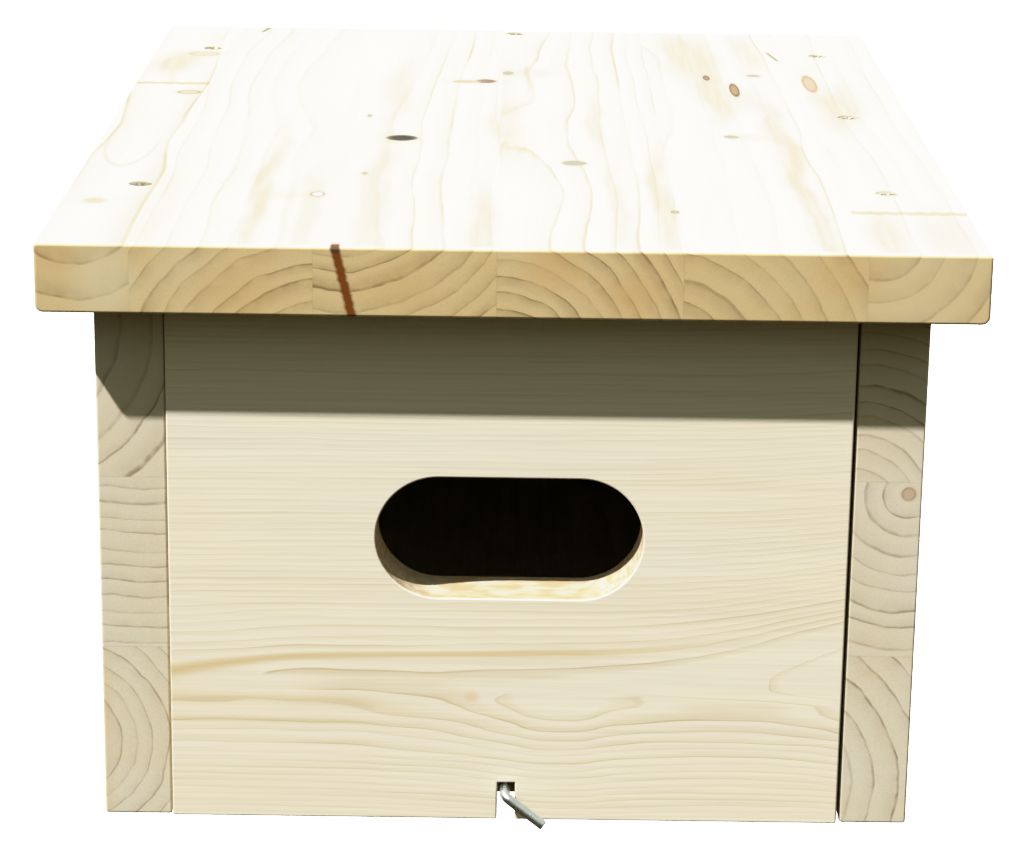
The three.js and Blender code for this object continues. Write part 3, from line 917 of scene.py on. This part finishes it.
    facing = tree.nodes.new("GeometryNodeInputNamedAttribute")
    facing.data_type = "FLOAT_VECTOR"
    facing.inputs["Name"].default_value = "facing"
    aimed = tree.nodes.new("FunctionNodeAlignRotationToVector")
    aimed.axis = "Z"
    tree.links.new(facing.outputs["Attribute"], aimed.inputs["Vector"])
    chance = tree.nodes.new("FunctionNodeRandomValue")
    chance.data_type = "FLOAT"
    spin_range = [s for s in chance.inputs if s.enabled and s.name in ("Min", "Max")]
    spin_range[0].default_value = 0.0
    spin_range[1].default_value = math.pi / 2
    tree.links.new(given["Seed"], next(s for s in chance.inputs if s.name == "Seed"))
    spin = tree.nodes.new("FunctionNodeAxisAngleToRotation")
    spin.inputs["Axis"].default_value = (0, 0, 1)
    tree.links.new(next(s for s in chance.outputs if s.enabled), spin.inputs["Angle"])
    driven = tree.nodes.new("FunctionNodeRotateRotation")
    driven.rotation_space = "LOCAL"
    tree.links.new(aimed.outputs[0], driven.inputs[0])
    tree.links.new(spin.outputs[0], driven.inputs[1])
    placed = tree.nodes.new("GeometryNodeInstanceOnPoints")
    tree.links.new(given["Points"], placed.inputs["Points"])
    tree.links.new(welded.outputs[0], placed.inputs["Instance"])
    tree.links.new(driven.outputs[0], placed.inputs["Rotation"])
    real = node(tree, "GeometryNodeRealizeInstances", placed.outputs[0])
    finished = node(tree, "GeometryNodeSetMaterial", real)
    tree.links.new(given["Metal"], finished.node.inputs["Material"])
    tree.links.new(finished, tree.nodes.new("NodeGroupOutput").inputs[0])
    return tree


def zinc(name, bright, dull, low, high, grain):
    """Zinc plate: bright metal, clouded, with fine scratches."""
    made, tree, shader = new_material(name)
    place, _ = millimetres(tree)
    cloud = noise(point(tree, *(times(p, 0.55) for p in place)), 4.0, 0.6)
    fine = noise(point(tree, *(times(p, s) for p, s in zip(place, grain))), 3.0, 0.6)
    tree.links.new(mix_colour(ramp(cloud, 0.35, 0.65), bright, dull), shader.inputs["Base Color"])
    tree.links.new(ramp(fine, 0.3, 0.7, low, high), shader.inputs["Roughness"])
    shader.inputs["Metallic"].default_value = 1.0
    bump_from(tree, shader, fine, 0.2, 0.00005)
    return made


screw_tree = screw_maker()
screw_zinc = zinc("zinc_screws", (0.56, 0.54, 0.48), (0.38, 0.36, 0.31), 0.32, 0.5, (4, 4, 4))
facings = {"roof": (0, 0, 1), "left": (-1, 0, 0), "right": (1, 0, 0)}


def drive_screws(name, body, nodes, sizes):
    """Makes all the screws of one body as one mesh."""
    places, ways = [], []
    for cad in nodes:
        low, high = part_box(cad)
        middle = (low + high) / 2
        side = "roof" if cad.startswith("roof") else "left" if "_left" in cad else "right"
        way = Vector(facings[side])
        axis = 2 if side == "roof" else 0
        middle[axis] = high[axis] if way[axis] > 0 else low[axis]
        places.append(middle)
        ways.append(way)
    cloud = bpy.data.meshes.new(name + "_points")
    cloud.from_pydata(places, [], [])
    attribute = cloud.attributes.new("facing", "FLOAT_VECTOR", "POINT")
    for item, way in zip(attribute.data, ways):
        item.vector = way
    maker = bpy.data.objects.new(name + "_points", cloud)
    bpy.context.scene.collection.objects.link(maker)
    modifier = maker.modifiers.new("screws", "NODES")
    modifier.node_group = screw_tree
    values = {**sizes, "Seed": 7, "Metal": screw_zinc}
    for item in screw_tree.interface.items_tree:
        if item.in_out == "INPUT" and item.name in values:
            modifier[item.identifier] = values[item.name]
    bpy.context.view_layer.update()
    graph = bpy.context.evaluated_depsgraph_get()
    mesh = bpy.data.meshes.new_from_object(maker.evaluated_get(graph))
    bpy.data.objects.remove(maker)
    bpy.data.meshes.remove(cloud)
    shape = bmesh.new()
    shape.from_mesh(mesh)
    bmesh.ops.recalc_face_normals(shape, faces=shape.faces)
    for face in shape.faces:
        face.smooth = True
    for edge in shape.edges:
        edge.smooth = len(edge.link_faces) == 2 and edge.calc_face_angle() < math.radians(38)
    shape.to_mesh(mesh)
    shape.free()
    mesh.name = name
    made = bpy.data.objects.new(name, mesh)
    bpy.context.scene.collection.objects.link(made)
    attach(made, body)
    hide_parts(*nodes)


wood_screw = {"Head Radius": head_radius, "Thread Radius": thread_radius, "Length": 0.040,
              "Plain Length": 0.016, "Thread Pitch": 0.0018, "Recess Depth": 0.0017}
box_screws = roof_screws + [at % hand for hand in ("left", "right") for at in side_screws]
drive_screws("box_screws", "box", box_screws, wood_screw)
pivot_screw = {**wood_screw, "Thread Radius": 0.002, "Length": 0.038, "Plain Length": 0.019,
               "Thread Pitch": 0.002}
drive_screws("pivot_screws", "door", ["pivot_screw_left", "pivot_screw_right"], pivot_screw)


# ---- Hook ----
# A square-bend screw hook of bright zinc-plated wire. Its thread is in the floor's front edge, it comes
# out through the notch, and its leg lies across the panel's lower edge until it is turned down.
hook_tail = 0.018
hook_leg = 0.013
bend_radius = 0.0022
bend_angle = math.radians(77)
leg_drop = math.radians(34)
panel_to_wire = 0.0047
hook_pitch = 0.0014

hook_root = Vector((hook_x, floor_low.y, hook_z))
out = Vector((0, -1, 0))
aside = Vector((math.cos(leg_drop), 0, -math.sin(leg_drop)))
flat_normal = out.cross(aside)
corner = floor_low.y - (door_low.y - panel_to_wire)
bend_start = corner - bend_radius * math.tan(bend_angle / 2)
leg_way = out * math.cos(bend_angle) + aside * math.sin(bend_angle)
leg_start = bend_radius * math.tan(bend_angle / 2)

stations = []
tail_steps = 96
tip_length = 0.004
thread_end = 0.005
for i in range(tail_steps + 1):
    along = -hook_tail + (hook_tail - 0.003) * i / tail_steps
    size = min(1.0, 0.12 + (along + hook_tail) / tip_length)
    stations.append((out * along, out, size, along < -thread_end))
for along in (-0.0015, 0.0, 0.004, 0.012, bend_start - 0.001):
    stations.append((out * along, out, 1.0, False))
bend_steps = 28
for i in range(bend_steps + 1):
    turn = bend_angle * i / bend_steps
    at = out * (bend_start + bend_radius * math.sin(turn)) + aside * (bend_radius * (1 - math.cos(turn)))
    stations.append((at, out * math.cos(turn) + aside * math.sin(turn), 1.0, False))
edge_ease = 0.00034
for length in (leg_start + 0.001, 0.006, 0.010, hook_leg - edge_ease - 0.0003):
    stations.append((out * corner + leg_way * length, leg_way, 1.0, False))
for i in range(5):
    t = math.pi / 2 * i / 4
    length = hook_leg - edge_ease * (1 - math.sin(t))
    size = 1 - (edge_ease / wire_radius) * (1 - math.cos(t))
    stations.append((out * corner + leg_way * length, leg_way, size, False))

hook_shape = bmesh.new()
hook_sides = 36
loops = []
for at, way, size, cut in stations:
    across = way.cross(flat_normal)
    loop = []
    for i in range(hook_sides):
        turn = 2 * math.pi * i / hook_sides
        thread = 1.0
        if cut:
            wave = (at.y / hook_pitch + i / hook_sides) % 1.0
            thread = 0.74 + 0.26 * max(0.0, 1 - 3.0 * abs(wave - 0.5))
        radius = wire_radius * size * thread
        offset = flat_normal * (radius * math.cos(turn)) + across * (radius * math.sin(turn))
        loop.append(hook_shape.verts.new(hook_root + at + offset))
    loops.append(loop)
for one, two in zip(loops, loops[1:]):
    band(hook_shape, one, two)
hook_shape.faces.new(loops[0])
hook_shape.faces.new(loops[-1])
bmesh.ops.recalc_face_normals(hook_shape, faces=hook_shape.faces)
# The hook's zinc colours are tinted blue and lightened: partly the plate's own colour, partly a painted
# reflection of a blue sky.
hook_zinc_and_sky_reflection = zinc("zinc_hook", (0.76, 0.82, 0.90), (0.64, 0.70, 0.78), 0.24, 0.38, (3, 3, 3))
hook = add_object("lock_hook_visual", hook_shape, hook_zinc_and_sky_reflection)
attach(hook, "hook")
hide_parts("lock_hook")
